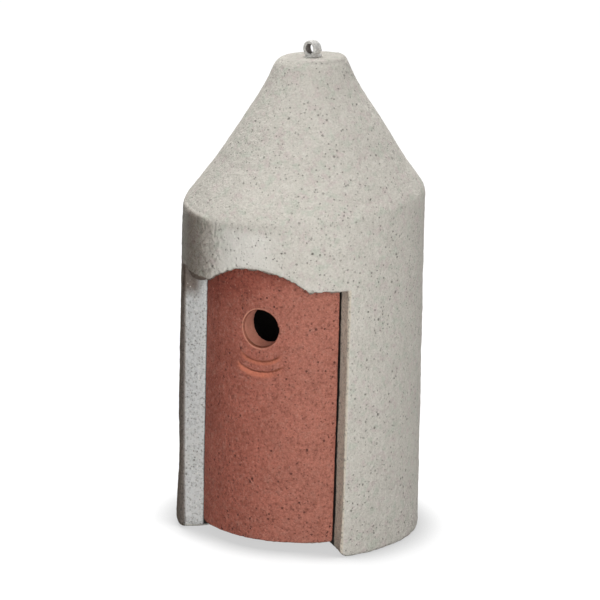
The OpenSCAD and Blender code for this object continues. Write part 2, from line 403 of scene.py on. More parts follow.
    # Painted shade: the chamber, behind the panel, is painted near black for the dark in it.
    inside = across.fall(PANEL_R - 1.4 * MM, PANEL_R - 0.2 * MM)
    inside = inside * f.z.step(1.5 * MM, 3 * MM)
    inside = inside * f.z.fall(CROWN_H - 2 * MM, CROWN_H)
    roof_across = apart(f.x, f.y - ROOF_Y)
    roof_skin = roof_across + (f.z - CROWN_H) * ROOF_SLOPE
    inside = inside * roof_skin.fall(CROWN_R - 10 * MM, CROWN_R - 8 * MM)
    f.lay(inside, sizes.inside)
    f.put(Base_Color=f.colour, Roughness=0.93, Specular_IOR_Level=0.25)
    relief = grain * 0.6 + lumps * 0.8 + flecks * 0.4 + scrape * 3.5 + grain * left * 3.4
    relief = relief - dust * 0.4 - fine * 0.6 - coarse * 1.2 - salt * 0.5
    f.relief(relief, 0.0009)
    return f.material


def clay_concrete(sizes):
    """Clay-red wood-fibre concrete: grainy and blotchy, brighter where it was stamped."""
    f = Finish("clay_concrete")
    blotch = f.noise(0.02, 4.0, 0.65, 1.7)
    patch = f.noise(0.0052, 3.0, 0.6, 3.9)
    grain = f.noise(0.0013, 3.0, 0.7, 8.2)
    flecks = f.noise(0.0022, 2.0, 0.6, 7.1)
    f.colour = f.mix(blotch.step(0.32, 0.68), sizes.light, sizes.dark)
    # Dust with painted light makes the panel paler towards the right, and painted shadow of the hood
    # darkens its top, most on the left.
    dust_and_light = (f.x + (blotch - 0.5) * 0.03).step(-0.035, 0.045)
    f.lay(dust_and_light * 0.5, sizes.dust)
    f.lay(patch.step(0.52, 0.74) * 0.45, sizes.pale)
    f.lay((1.0 - patch).step(0.52, 0.74) * 0.35, sizes.rust_and_shade)
    f.lay(flecks.step(0.5, 0.78) * 0.6, sizes.pale)
    f.lay((1.0 - flecks).step(0.5, 0.78) * 0.55, sizes.speck)
    f.darken(grain.step(0.3, 0.7), sizes.grain)
    # Painted shadow of the hood on the panel's top, deeper towards the left.
    hood_shadow = f.z + f.x * -0.35 + (blotch - 0.5) * 0.02
    hood_shadow = hood_shadow.step(HOOD_H - 16 * MM, HOOD_H + 8 * MM)
    f.darken(hood_shadow, sizes.hood_shadow)
    pale = f.specks(0.0022, 0.35, 0.24, 9.4) * 0.5
    fine = f.specks(0.0021, 0.45, 0.24, 2.6) * 0.6
    coarse = f.specks(0.0044, 0.45, 0.16, 6.5) * 0.8
    for dots, tint in ((pale, sizes.pale), (fine, sizes.speck), (coarse, sizes.speck)):
        f.lay(dots, tint)
    # Stamped grooves, the rim of the hole and its wall show the inside of the mix.
    around = apart(f.x, f.z - HOLE.z)
    radius = apart(f.x, f.y)
    front = radius.step(PANEL_R - 6 * MM, PANEL_R - 5 * MM)
    below = f.z.fall(HOLE.z - 12 * MM, HOLE.z - 8 * MM)
    across = abs(f.x)
    for i in range(GROOVES):
        start = sizes.groove_r + i * sizes.groove_pitch
        width = sizes.groove_w + i * sizes.groove_growth
        reach = GROOVE_REACH + i * GROOVE_REACH_GROWTH
        fade = below * front * across.fall(reach - 3 * MM, reach + 1.5 * MM)
        depth = around + (flecks - 0.5) * 1.2 * MM
        slope = depth.step(start - 0.2 * MM, start + 0.3 * MM)
        slope = slope * depth.fall(start + width * 0.6, start + width * 1.15)
        inside = f.mix(0.3 - 0.3 * i, sizes.cut, sizes.rust_and_shade)
        slope = slope * (1.0 - f.x.step(2 * MM, 13 * MM) * i * 0.75)
        f.lay(slope * fade * (0.4 + flecks * 0.7), inside)
        # Painted shade along each groove's upper step.
        line = depth.step(start - 1.1 * MM, start - 0.3 * MM)
        line = line * depth.fall(start + 0.2 * MM, start + 0.9 * MM)
        f.lay(line * fade * (f.x + 0.02).step(0.0, 0.015) * 0.85, sizes.rust_and_shade)
    # The rim is pale outside and dark inside, darkest at the bottom.
    rim_r = HOLE_R + 0.5 * MM - sizes.tight
    wall = around.fall(rim_r - 0.6 * MM, rim_r - 0.2 * MM)
    f.lay(wall * (0.45 + patch * 0.5), sizes.worn)
    rim = around.step(rim_r - 0.2 * MM, rim_r + 0.2 * MM)
    worn_r = around + (flecks - 0.5) * 1.2 * MM
    rim = rim * worn_r.fall(rim_r + 0.5 * MM, rim_r + 1.3 * MM)
    rim = rim * (1.0 - f.x.step(-4 * MM, 10 * MM) * 0.8)
    f.lay(rim * front * (0.35 + patch * 0.6), sizes.pale_rim)
    line = radius.step(PANEL_R - 2.4 * MM, PANEL_R - 1.5 * MM)
    line = line * around.fall(rim_r - 0.1 * MM, rim_r + 0.3 * MM)
    low = f.z.fall(HOLE.z - 12 * MM, HOLE.z - 6 * MM)
    f.lay(line * (low * 0.35 + 0.6), sizes.rust_and_shade)
    # Painted shade: its side faces are painted near black for the dark of the gaps.
    side = across / (-f.y + 1 * MM)
    dark = side.step(PANEL_SLOPE - 0.05, PANEL_SLOPE - 0.035)
    dark = dark * radius.fall(PANEL_R - 2.6 * MM, PANEL_R - 1.2 * MM)
    f.lay(dark, sizes.painted_shade)
    f.put(Base_Color=f.colour, Roughness=0.9, Specular_IOR_Level=0.25)
    relief = grain * 0.8 + patch * 0.6 + flecks * 0.9 - fine * 0.6 - coarse * 1.2
    f.relief(relief, 0.001)
    return f.material


def galvanised_steel(sizes):
    """Dull zinc-coated steel, with painted shade in the bore of the eye."""
    f = Finish("galvanised_steel")
    grain = f.noise(0.0011, 2.0, 0.5, 1.1)
    stain = f.noise(0.004, 2.0, 0.5, 4.1)
    f.colour = f.mix(grain.step(0.3, 0.7), sizes.light, sizes.dark)
    f.lay(stain.step(0.5, 0.7) * 0.25, sizes.stain)
    right, back = f.x - (EYE.x + sizes.shift), f.y - EYE.y
    across = right * math.cos(EYE_TURN) - back * math.sin(EYE_TURN)
    away = apart(across, f.z - EYE.z)
    # Painted shade: the bore of the eye is painted near black.
    bore = away.fall(EYE_HOLE_R - 0.05 * MM, EYE_HOLE_R + 0.45 * MM)
    along = right * math.sin(EYE_TURN) + back * math.cos(EYE_TURN)
    bore = bore * (along + EYE_DEPTH / 2).step(0.2 * MM, 1.4 * MM)
    f.lay(bore * 0.93, sizes.painted_shade)
    f.put(Base_Color=f.colour, Metallic=0.2, Roughness=0.75)
    f.relief(grain, 0.00012)
    return f.material


# ---------------------------------------------------------------- mesh helpers

def linked(name, data):
    """A new object in the scene that holds a mesh, a lamp or a camera."""
    made = bpy.data.objects.new(name, data)
    bpy.context.scene.collection.objects.link(made)
    return made


def linked_mesh(name, bm):
    """A new object in the scene that takes over the faces of a bmesh."""
    mesh = bpy.data.meshes.new(name)
    bm.to_mesh(mesh)
    bm.free()
    return linked(name, mesh)


def object_from(bm, name, body, material):
    """Makes a finished piece from a bmesh and lets it ride on a body."""
    made = linked_mesh(name, bm)
    made.data.materials.append(material)
    made.data.shade_smooth()
    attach(made, body)
    return made


def merged_solids(nodes):
    """One bmesh that holds copies of packed solids, with their loose corners merged."""
    bm = bmesh.new()
    for name in nodes:
        bm.from_mesh(frame["nodes"][name].data)
    bmesh.ops.remove_doubles(bm, verts=bm.verts, dist=1e-6)
    return bm


def modified(bm, kind, settings, marked=()):
    """The bmesh after one modifier, which may read a group of marked corners."""
    holder = linked_mesh("skin", bm)
    mesh = holder.data
    holder.vertex_groups.new(name="marked").add(marked, 1.0, "REPLACE")
    modifier = holder.modifiers.new("skin", kind)
    for name, value in settings.items():
        setattr(modifier, name, value)
    ready = holder.evaluated_get(bpy.context.evaluated_depsgraph_get())
    skin = bmesh.new()
    skin.from_mesh(ready.to_mesh())
    ready.to_mesh_clear()
    bpy.data.objects.remove(holder)
    bpy.data.meshes.remove(mesh)
    return skin


def remeshed(bm, voxel):
    """The outer skin of the solids in bm, as even quads of about voxel metres."""
    return modified(bm, "REMESH", {"mode": "VOXEL", "voxel_size": voxel})


def drop_crumbs(bm):
    """Deletes every closed skin but the largest."""
    left = set(bm.verts)
    groups = []
    while left:
        start = left.pop()
        group = [start]
        stack = [start]
        while stack:
            for edge in stack.pop().link_edges:
                for v in edge.verts:
                    if v in left:
                        left.remove(v)
                        group.append(v)
                        stack.append(v)
        groups.append(group)
    groups.sort(key=len)
    for group in groups[:-1]:
        bmesh.ops.delete(bm, geom=group, context="VERTS")


def smooth(bm, passes, chosen=None):
    """Rounds edges: each pass moves a corner halfway to the middle of its neighbours."""
    verts = bm.verts[:] if chosen is None else [v for v in bm.verts if chosen(v.co)]
    for _ in range(passes):
        bmesh.ops.smooth_vert(
            bm, verts=verts, factor=0.5, use_axis_x=True, use_axis_y=True, use_axis_z=True
        )


def roughen(bm, height_at):
    """Moves each corner along its normal by the height that a rule gives."""
    bm.normal_update()
    moves = [(v, v.normal * height_at(v.co)) for v in bm.verts]
    for v, move in moves:
        v.co += move


def cloud(place, size, seed):
    """Smooth noise from -1 to 1 with blotches about size metres across."""
    return noise.noise(place / size + Vector((seed, seed * 1.7, -seed)))


def waves(place, rows):
    """Noise of several sizes, one on another."""
    return sum(cloud(place, size, seed) * height for size, seed, height in rows)


# ---------------------------------------------------------------- the casting

def ramp(value, low, high):
    """0 below low and 1 above high, with a smooth rise between them."""
    t = min(max((value - low) / (high - low), 0.0), 1.0)
    return t * t * (3.0 - 2.0 * t)


def body_r_at(h):
    """Radius of the drafted outside of the body at a height."""
    return BODY_R - h * BODY_DRAFT


def solid_roof_r_at(h):
    """Radius of the packed roof at a height, about its own axis."""
    if h < NECK_H:
        return NECK_R + (NECK_H - h) * ROOF_SLOPE
    return NECK_R


def neck_solid_r_at(h):
    """Radius of the packed neck and cap at a height."""
    cap_low, cap_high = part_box("roof_cap")
    cap_r = cap_high.x
    if h < cap_low.z:
        return NECK_R + (cap_r - NECK_R) * (h - NECK_H) / (cap_low.z - NECK_H)
    return cap_r + (CAP_TOP_R - cap_r) * (h - cap_low.z) / (cap_high.z - cap_low.z)


def cast_roof_r_at(h):
    """Radius of the cast roof at a height."""
    h = h / MM
    for (low, low_r), (high, high_r) in zip(ROOF_PROFILE, ROOF_PROFILE[1:]):
        if h <= high:
            return (low_r + (high_r - low_r) * (h - low) / (high - low)) * MM
    return ROOF_PROFILE[-1][1] * MM


def to_circle(centre, way, radius):
    """Distance from a point inside the circle around the axis to the circle, along way."""
    along = centre.dot(way)
    return -along + math.sqrt(max(along * along - centre.length_squared + radius * radius, 0.0))


def shape_roof(bm, sizes):
    """Gives the outside of the roof the uneven shape that it was cast in."""
    solid_axis = Vector((0.0, ROOF_Y))
    for v in bm.verts:
        if v.co.z < WALL_H - 3 * MM:
            continue
        away = Vector((v.co.x, v.co.y)) - solid_axis
        if away.length < 1e-6:
            continue
        way = away.normalized()
        solid_r = min(
            solid_roof_r_at(v.co.z), to_circle(solid_axis, way, body_r_at(v.co.z))
        )
        if v.co.z < NECK_H and away.length < solid_r - 3.5 * MM:
            continue
        lean = 1.0 - 0.5 * ramp(v.co.z, CROWN_H, TOP_H)
        axis = Vector((sizes.roof_shift * lean, ROOF_Y + 0.3 * MM))
        cast_r = min(cast_roof_r_at(v.co.z), to_circle(axis, way, body_r_at(v.co.z)))
        if v.co.z > NECK_H:
            solid_r = neck_solid_r_at(v.co.z)
        place = axis + way * (away.length * cast_r / solid_r)
        v.co.x, v.co.y = place
        rise = ramp(v.co.z, TOP_H - 9 * MM, TOP_H)
        v.co.z += rise * (place.x - axis.x) * math.tan(sizes.cap_tilt)


def from_front(co):
    """Angle around the body from the front towards the right, in degrees."""
    return math.degrees(math.atan2(co.x, -co.y))


def splay_at(edge, far, height):
    """How far an edge of the doorway lies outside the solid's, in degrees."""
    up = min(max(height / HOOD_H, 0.0), 1.0) ** SPLAY_POWER
    out = min(max((far - PANEL_R) / (BODY_R - PANEL_R), 0.0), 1.0)
    inner = edge.inner_low + (edge.inner_high - edge.inner_low) * up
    outer = edge.outer_low + (edge.outer_high - edge.outer_low) * up
    return inner + (outer - inner) * out


def splay_doorway(bm):
    """Turns what is beside the doorway about the axis, to where its edges were cast."""
    for v in bm.verts:
        turn, far = from_front(v.co), from_axis(v.co)
        side = abs(turn)
        near = ramp(side, 22.0, DOORWAY) * (1.0 - ramp(side, DOORWAY, 80.0))
        start = HOOD_H + 3 * MM if far > PANEL_R + 3 * MM else WALL_H
        near *= 1.0 - ramp(v.co.z, start, start + 14 * MM)
        if near <= 0.0:
            continue
        edge = LEFT_EDGE if turn < 0.0 else RIGHT_EDGE
        new_side = math.radians(side + near * splay_at(edge, far, v.co.z))
        v.co.x = math.copysign(math.sin(new_side) * far, turn)
        v.co.y = -math.cos(new_side) * far


def round_foot(bm, edge, radius, into):
    """Pushes the square corner at the foot of an upright edge into a quarter circle.

    The edge is a direction in degrees, and into is 1 where the piece lies to its right."""
    low = min(v.co.z for v in bm.verts)
    for v in bm.verts:
        far, turn = from_axis(v.co), from_front(v.co)
        inward = math.radians(turn - edge) * into * far
        down = 1.0 - (v.co.z - low) / radius
        if not -1 * MM < inward < radius or down <= 0.0 or far < FOOT_INNER_R:
            continue
        across, down = min(1.0 - inward / radius, 1.0), min(down, 1.0)
        in_across = across * math.sqrt(1.0 - down * down / 2.0)
        in_down = down * math.sqrt(1.0 - across * across / 2.0)
        new_turn = math.radians(edge) + into * (1.0 - in_across) * radius / far
        v.co.x, v.co.y = math.sin(new_turn) * far, -math.cos(new_turn) * far
        v.co.z = low + (1.0 - in_down) * radius


def from_axis(co):
    """Distance from the body's axis."""
    return math.hypot(co.x, co.y)


def on_shoulder(co):
    """True near the line where the cone meets the round wall."""
    off_axis = math.hypot(co.x, co.y - ROOF_Y)
    return (
        co.z > WALL_H - 4 * MM
        and off_axis > cast_roof_r_at(co.z) - 11 * MM
        and from_axis(co) > BODY_R - 14 * MM
        and co.z > FOOT_H - 9 * MM
    )


def on_lobe(co):
    """True around the lower edge of the hood's left lobe."""
    return (
        -58.0 < from_front(co) < -30.0
        and abs(co.z - HOOD_H) < 9 * MM
        and from_axis(co) > PANEL_R + 5 * MM
    )


def is_inside(co):
    """True on the walls and floor of the chamber and in the roof's hollow."""
    off_axis = math.hypot(co.x, co.y - ROOF_Y)
    return (
        co.z > FLOOR_H - 1 * MM
        and from_axis(co) < CHAMBER_R + 0.6 * MM
        and off_axis < solid_roof_r_at(co.z) - 14 * MM
    )


def is_under(co):
    """True on the flat underside, away from its rim."""
    return co.z < 0.5 * MM and from_axis(co) < BODY_R - 12 * MM


def lighten(bm, kept_share):
    """Thins out the mesh where it is seen least: inside and on the underside."""
    hidden = [i for i, v in enumerate(bm.verts) if is_inside(v.co) or is_under(v.co)]
    settings = {
        "ratio": 1.0 - len(hidden) / len(bm.verts) * (1.0 - kept_share),
        "vertex_group": "marked",
        "vertex_group_factor": 1000.0,
    }
    return modified(bm, "DECIMATE", settings, hidden)


def arch_at(x):
    """Height of the arch over the foot of the hood, in metres."""
    if abs(x) >= ARCH_W / 2:
        return 0.0
    return math.sqrt(ARCH_R ** 2 - x * x) - (ARCH_R - ARCH_RISE)


def hang_hood(bm, sizes):
    """Lets the hood's left lobe hang a little, and frays the hood's lower edge."""
    for v in bm.verts:
        turn = from_front(v.co)
        up = v.co.z - HOOD_H
        if from_axis(v.co) < PANEL_R + 3 * MM or not CORNER_BELOW < up < CORNER_ABOVE:
            continue
        # The lobe ends in a round corner beside the doorway.
        corner = ramp(-turn, 44.0, 56.0) * (1.0 - ramp(-turn, 60.0, 80.0))
        corner *= ramp(up, CORNER_BELOW, 0.0) * (1.0 - ramp(up, 0.0, CORNER_ABOVE))
        v.co.z += corner * sizes.lobe_corner
        if abs(turn) > 55.0 or not -1 * MM < up < 19 * MM:
            continue
        near = 1.0 - ramp(up, 2 * MM, 15 * MM)
        lobe = math.exp(-(((turn - LOBE_TURN) / LOBE_WIDTH) ** 2))
        over_arch = up - arch_at(v.co.x)
        edge = 1.0 - ramp(over_arch, 0.0, 5 * MM)
        edge *= 1.0 - 0.8 * ramp(turn, 40.0, 44.0) - ramp(-turn, 50.0, 54.0)
        edge *= 1.0 - ramp(turn, 44.0, 46.0)
        fray = cloud(v.co, 0.0042, 41.0) * 0.7 + cloud(v.co, 0.0017, 57.0) * 0.4
        v.co.z -= near * lobe * sizes.lobe_sag + edge * fray * sizes.fray


def cast_height(co):
    """Unevenness of the cast surface, in metres."""
    if is_inside(co):
        return waves(co, INSIDE_WAVES)
    turn = from_front(co)
    dent_up, dent_across = (co.z - DENT_H) / DENT_TALL, (turn - DENT_TURN) / DENT_WIDE
    dent = math.exp(-(dent_up ** 2 + dent_across ** 2))
    lobe = ramp(co.z, HOOD_H + 6 * MM, HOOD_H + 12 * MM) * ramp(-turn, 14.0, 40.0)
    lobe *= 1.0 - ramp(co.z, FOOT_H - 2 * MM, FOOT_H + 6 * MM)
    lobe *= ramp(-co.y, 0.0, 0.02)
    slanted = Vector((co.x * 480.0 + co.z * 400.0, co.z * 230.0 - co.x * 190.0, 5.0))
    scraped = noise.noise(slanted) * 0.0003
    return waves(co, CAST_WAVES) + lobe * scraped - dent * DENT_DEPTH


def build_casting(sizes):
    """The body, hood and roof are one casting: one skin over all of their solids."""
    bm = remeshed(merged_solids(CAST_NODES), sizes.voxel)
    drop_crumbs(bm)
    bm = lighten(bm, HIDDEN_SHARE)
    shape_roof(bm, sizes)
    smooth(bm, sizes.edge_passes)
    smooth(bm, sizes.shoulder_passes, on_shoulder)
    round_foot(bm, -DOORWAY, sizes.foot_r, -1)
    round_foot(bm, DOORWAY, sizes.foot_r, 1)
    splay_doorway(bm)
    hang_hood(bm, sizes)
    smooth(bm, 5, on_lobe)
    roughen(bm, cast_height)
    for v in bm.verts:
        v.co.z = max(v.co.z, 0.0)
    return bm


# ---------------------------------------------------------------- panel and eye

def panel_height(co):
    """Unevenness of the panel's surface, in metres."""
    return waves(co, PANEL_WAVES)


def build_panel(sizes):
    """The curved front panel, with worn edges and rounded lower corners."""
    bm = remeshed(merged_solids(["front_panel"]), sizes.voxel)
    drop_crumbs(bm)
    side = math.degrees(math.atan2(PANEL_HIGH.x, math.sqrt(PANEL_R ** 2 - PANEL_HIGH.x ** 2)))
    round_foot(bm, -side, sizes.left_corner, 1)
    round_foot(bm, side, sizes.right_corner, -1)
    splay_doorway(bm)
    for v in bm.verts:
        across, up = v.co.x, v.co.z - HOLE.z
        away = math.hypot(across, up)
        if 0.0 < away < HOLE_R + 6 * MM:
            depth = PANEL_R - from_axis(v.co)
            wall = 1.0 - ramp(away, HOLE_R + 0.3 * MM, HOLE_R + 0.8 * MM)
            moved = sizes.tight * (1.0 - ramp(away, HOLE_R + 1 * MM, HOLE_R + 6 * MM))
            moved += sizes.lip * wall * ramp(depth, 1 * MM, 8 * MM)
            scale = 1.0 - moved / away
            v.co.x, v.co.z = across * scale, HOLE.z + up * scale
    smooth(bm, sizes.edge_passes)
    roughen(bm, panel_height)
    return bm


def build_eye(sizes):
    """A short thick ring with rounded lips, with its back half in a collar on the cap."""
    ring_r = EYE_HIGH.z - EYE.z
    thick = (ring_r - EYE_HOLE_R) / 2
    bm = bmesh.new()
    bmesh.ops.create_circle(bm, segments=24, radius=1.0)
    for v in bm.verts:
        x, y = v.co.x, v.co.y
        v.co.x = EYE_HOLE_R + thick + math.copysign(abs(x) ** 0.6, x) * thick
        v.co.y = math.copysign(abs(y) ** 0.5, y) * EYE_DEPTH / 2
    bmesh.ops.spin(
        bm, geom=bm.verts[:] + bm.edges[:], cent=(0, 0, 0), axis=(0, 1, 0),
        dvec=(0, 0, 0), angle=math.tau, steps=48, use_merge=True,
    )
    # The ring narrows towards its front, and its skirt runs down to the cap.
    for v in bm.verts:
        back = ramp(v.co.y, -0.5 * EYE_DEPTH, 0.5 * EYE_DEPTH)
        if v.co.xz.length > EYE_HOLE_R + thick:
            v.co.x *= 0.98 + 0.10 * back
        if v.co.z < 0.0 and v.co.xz.length > EYE_HOLE_R + thick:
            v.co.x *= 1.0 + 0.12 * back
    bmesh.ops.recalc_face_normals(bm, faces=bm.faces)
    stem_low, stem_high = EYE_LOW.z + 2 * MM - EYE.z, -EYE_HOLE_R - 0.6 * MM
    # The stem, then the collar: radii, heights of both ends, and how far back it stands.
    for radius_low, radius_high, low, high, back in (
        (2.4 * MM, 2 * MM, stem_low, stem_high, 0.0),
        (6.6 * MM, 4.6 * MM, -ring_r - 1.6 * MM, -EYE_HOLE_R - 0.2 * MM, 1.8 * MM),
    ):
        bmesh.ops.create_cone(
            bm, cap_ends=True, segments=32, radius1=radius_low, radius2=radius_high,
            depth=high - low, matrix=Matrix.Translation((0.0, back, (low + high) / 2)),
        )
    bmesh.ops.rotate(
        bm, cent=(0, 0, 0), matrix=Matrix.Rotation(-EYE_TURN, 3, "Z"), verts=bm.verts
    )
    bmesh.ops.translate(bm, vec=EYE + Vector((sizes.shift, 0.0, 0.0)), verts=bm.verts)
    bm = remeshed(bm, sizes.voxel)
    smooth(bm, 3)
    roughen(bm, lambda co: waves(co, EYE_WAVES))
    return bm


# ---------------------------------------------------------------- settings

def length(**words):
    """A length in metres that a user can change."""
    return FloatProperty(unit="LENGTH", precision=5, **words)


def angle(**words):
    """An angle in radians that a user can change."""
    return FloatProperty(subtype="ANGLE", **words)


def colour(**words):
    """A colour that a user can change."""
    return FloatVectorProperty(subtype="COLOR", min=0.0, max=1.0, **words)


class CastingSizes(bpy.types.PropertyGroup):
    """Finish of the body, hood and roof."""

    voxel: length(
        name="Skin Size", description="Size of the quads of the casting's skin",
        default=0.0014, min=0.001, max=0.004,
    )
    edge_passes: IntProperty(
        name="Edge Passes", description="How far every edge is rounded", default=3, min=0, max=20,
    )
    shoulder_passes: IntProperty(
        name="Shoulder Passes", description="How far the shoulder under the cone is rounded",
        default=14, min=0, max=120,
    )
    roof_shift: length(
        name="Roof Shift", description="How far the roof was cast off centre, to the right",
        default=0.0031, min=-0.004, max=0.004,
    )
    cap_tilt: angle(
        name="Cap Tilt", description="Slope of the top of the cap, up to the right",
        default=math.radians(3.5), min=0.0, max=math.radians(6.0),
    )
    lobe_sag: length(
        name="Lobe Sag", description="How far the left end of the hood hangs down",
        default=0.0041, min=0.0, max=0.006,
    )
    lobe_corner: length(
        name="Lobe Corner", description="How far the left end of the hood is rounded up",
        default=0.0055, min=0.0, max=0.008,
    )
    foot_r: length(
        name="Foot Corner", description="Radius of the wall's lower corners beside the doorway",
        default=0.0055, min=0.001, max=0.008,
    )
    fray: length(
        name="Fray", description="Unevenness of the hood's lower edge",
        default=0.0024, min=0.0, max=0.004,
    )
    light: colour(name="Light", description="Lighter colour of the concrete", default=(0.71, 0.675, 0.61))
    dark: colour(name="Dark", description="Darker colour of the concrete", default=(0.60, 0.57, 0.51))
    pink: colour(name="Pink", description="Pinkish patches in the concrete", default=(0.66, 0.59, 0.55))
    green: colour(
        name="Green", description="Greenish patches in the concrete", default=(0.60, 0.61, 0.53),
    )
    grain: colour(
        name="Grain", description="How dark the grain makes the concrete", default=(0.83, 0.83, 0.82),
    )
    speck: colour(name="Specks", description="Dark specks in the concrete", default=(0.22, 0.21, 0.18))
    # The light flecks' colour also paints the light on the front of the hood.
    fleck_and_light: colour(name="Fleck", description="Light flecks in the concrete", default=(0.82, 0.80, 0.74))
    cool: colour(
        name="Left Cut Face", description="Concrete of the left cut face beside the panel",
        default=(0.63, 0.64, 0.635),
    )
    warm: colour(
        name="Right Cut Face", description="Concrete of the right one", default=(0.68, 0.61, 0.50),
    )
    # Brown soil with painted shadow, at the hood's edge and under its lobe.
    soil_and_shadow: colour(name="Soil", description="Brown dirt at the hood's edge", default=(0.17, 0.12, 0.09))
    grime: colour(
        name="Grime", description="How dark the grime makes the cap's top and the cut faces",
        default=(0.80, 0.80, 0.80),
    )
    # The stain also paints shade on the left of the hood and wall.
    stain: colour(
        name="Stain", description="How dark the stain makes the left of the hood and wall",
        default=(0.57, 0.51, 0.47),
    )
    # Painted shade: near black for the dark inside the chamber.
    inside: colour(
        name="Inside", description="Darkened concrete inside the chamber", default=(0.022, 0.018, 0.015),
    )


class PanelSizes(bpy.types.PropertyGroup):
    """Finish of the front panel."""

    voxel: length(
        name="Skin Size", description="Size of the quads of the panel's skin",
        default=0.0008, min=0.0005, max=0.004,
    )
    edge_passes: IntProperty(
        name="Edge Passes", description="How far every edge is rounded", default=2, min=0, max=20,
    )
    light: colour(name="Light", description="Lighter clay red", default=(0.51, 0.16, 0.112))
    dark: colour(name="Dark", description="Darker clay red", default=(0.40, 0.117, 0.08))
    pale: colour(name="Pale", description="Pale pink grains", default=(0.52, 0.24, 0.18))
    speck: colour(name="Specks", description="Dark specks", default=(0.13, 0.045, 0.035))
    cut: colour(name="Cut", description="Brighter clay inside the grooves", default=(0.69, 0.225, 0.135))
    pale_rim: colour(name="Rim", description="Paler rim of the entrance hole", default=(0.70, 0.32, 0.22))
    grain: colour(
        name="Grain", description="How dark the grain makes the clay red", default=(0.70, 0.68, 0.68),
    )
    worn: colour(name="Worn", description="Paler wall of the entrance hole", default=(0.77, 0.34, 0.24))
    # Dust with painted light, laid towards the right of the panel.
    dust: colour(
        name="Dust", description="Dustier clay red towards the right", default=(0.61, 0.272, 0.20),
    )
    # The brown also paints shade along the grooves' upper steps.
    rust_and_shade: colour(name="Rust", description="Browner patches in the clay red", default=(0.21, 0.062, 0.034))
    # Painted shadow of the hood on the panel.
    hood_shadow: colour(
        name="Damp", description="How dark the dirt under the hood makes the panel",
        default=(0.72, 0.60, 0.58),
    )
    # Painted shade: near black in the gaps beside the panel.
    painted_shade: colour(
        name="Dirt", description="Dark dirt in the gaps beside the panel", default=(0.03, 0.018, 0.014),
    )
    tight: length(
        name="Tight", description="How much smaller than drawn the hole was cast, in radius",
        default=0.0009, min=0.0, max=0.0015,
    )
    lip: length(
        name="Lip", description="How much the hole narrows towards the inside, in radius",
        default=0.0003, min=0.0, max=0.002,
    )
    groove_r: length(
        name="Groove Radius", description="From the middle of the hole to the upper groove",
        default=0.0215, min=0.018, max=0.024,
    )
    groove_pitch: length(
        name="Groove Pitch", description="From one groove to the next",
        default=0.007, min=0.005, max=0.009,
    )
    groove_w: length(
        name="Groove Width", description="Width of the upper groove",
        default=0.0028, min=0.002, max=0.005,
    )
    groove_growth: length(
        name="Groove Growth", description="How much wider each groove is than the one above it",
        default=0.0012, min=0.0, max=0.002,
    )
    left_corner: length(
        name="Left Corner", description="Radius of the left lower corner",
        default=0.0055, min=0.001, max=0.008,
    )
    right_corner: length(
        name="Right Corner", description="Radius of the right lower corner",
        default=0.0015, min=0.001, max=0.008,
    )


class EyeSizes(bpy.types.PropertyGroup):
    """Sizes and finish of the hanging eye."""

    voxel: length(
        name="Skin Size", description="Size of the quads of the eye's skin",
        default=0.0003, min=0.0002, max=0.001,
    )
    shift: length(
        name="Shift", description="How far the eye was cast in off centre, to the right",
        default=0.0024, min=0.0, max=0.004,
    )
    light: colour(name="Light", description="Lighter zinc", default=(0.60, 0.59, 0.56))
    dark: colour(name="Dark", description="Darker zinc", default=(0.42, 0.41, 0.39))
    # Painted shade in the bore of the eye.
    painted_shade: colour(name="Dirt", description="Dirt in the bore of the eye", default=(0.035, 0.022, 0.016))
    stain: colour(name="Stain", description="Brown stain on the zinc", default=(0.24, 0.17, 0.13))


class StageSizes(bpy.types.PropertyGroup):
    """Camera, lights and floor."""

    azimuth: angle(
        name="Azimuth", description="Direction of the camera, from the front to the right",
        default=math.radians(23.009),
    )
    turn: angle(
        name="Turn", description="How far the camera turns away from the body's axis",
        default=math.radians(0.031),
    )
    distance: length(
        name="Distance", description="Level distance of the camera from the body's axis", default=2.0355,
    )
    height: length(name="Height", description="Height of the camera", default=0.7029)
    pitch: angle(name="Pitch", description="How far the camera looks down", default=math.radians(15.179))
    roll: angle(name="Roll", description="How far the camera leans", default=math.radians(1.266))
    lens: FloatProperty(
        name="Lens", description="Focal length on a 36 mm sensor, in millimetres", default=194.04,
    )


# ---------------------------------------------------------------- operators

class NESTBOX_OT_casting(bpy.types.Operator):
    """Model and finish the casting"""

    bl_idname = "nestbox.casting"
    bl_label = "Casting"

    def execute(self, context):
        sizes = context.scene.nestbox_casting
        material = cast_concrete(sizes)
        made = object_from(build_casting(sizes), "casting_skin", "casting", material)
        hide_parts(*CAST_NODES)
        return {"FINISHED"}


class NESTBOX_OT_panel(bpy.types.Operator):
    """Model and finish the front panel"""

    bl_idname = "nestbox.panel"
    bl_label = "Front Panel"

    def execute(self, context):
        sizes = context.scene.nestbox_panel
        material = clay_concrete(sizes)
        made = object_from(build_panel(sizes), "panel_skin", "panel", material)
        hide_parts("front_panel")
        return {"FINISHED"}


class NESTBOX_OT_eye(bpy.types.Operator):
    """Model and finish the hanging eye and finish the pivot pins"""

    bl_idname = "nestbox.eye"
    bl_label = "Hanging Eye"

    def execute(self, context):
        sizes = context.scene.nestbox_eye
        material = galvanised_steel(sizes)
        made = object_from(build_eye(sizes), "eye_ring", "casting", material)
        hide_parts("hanging_eye")
        for name in ("pivot_pin_left", "pivot_pin_right"):
            node = frame["nodes"][name]
            node.data.materials.clear()
            node.data.materials.append(material)
        return {"FINISHED"}


